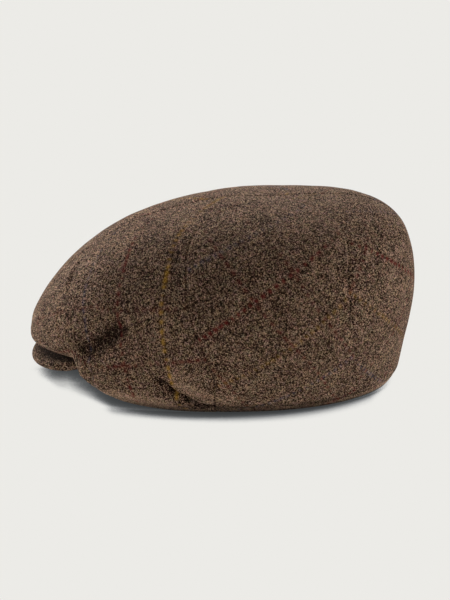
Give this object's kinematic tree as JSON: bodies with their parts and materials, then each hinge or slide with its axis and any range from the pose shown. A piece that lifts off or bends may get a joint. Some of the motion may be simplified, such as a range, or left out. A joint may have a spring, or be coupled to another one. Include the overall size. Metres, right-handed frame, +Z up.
{
  "type": "flat cap",
  "caption": "Flat cap of brown tweed with a full crown sewn from panels that hangs over a short padded peak.",
  "frame": {"origin": "middle of the box around the cap, at the surface that the hem rests on", "axes": "+Z up, the front of the cap and its peak face -Y, the wearer's left is +X"},
  "size_m": [0.2136, 0.262, 0.1277],
  "materials": {
    "tweed": "woolly melange tweed with a sparse coloured overcheck",
    "peak_tweed": "the same tweed drawn tight over a padded peak"
  },
  "bodies": {
    "root": {"panel_front_left": "tweed", "panel_front_right": "tweed", "panel_side_left": "tweed", "panel_side_right": "tweed", "panel_back_left": "tweed", "panel_back_right": "tweed", "peak": "peak_tweed"}
  },
  "joints": []
}
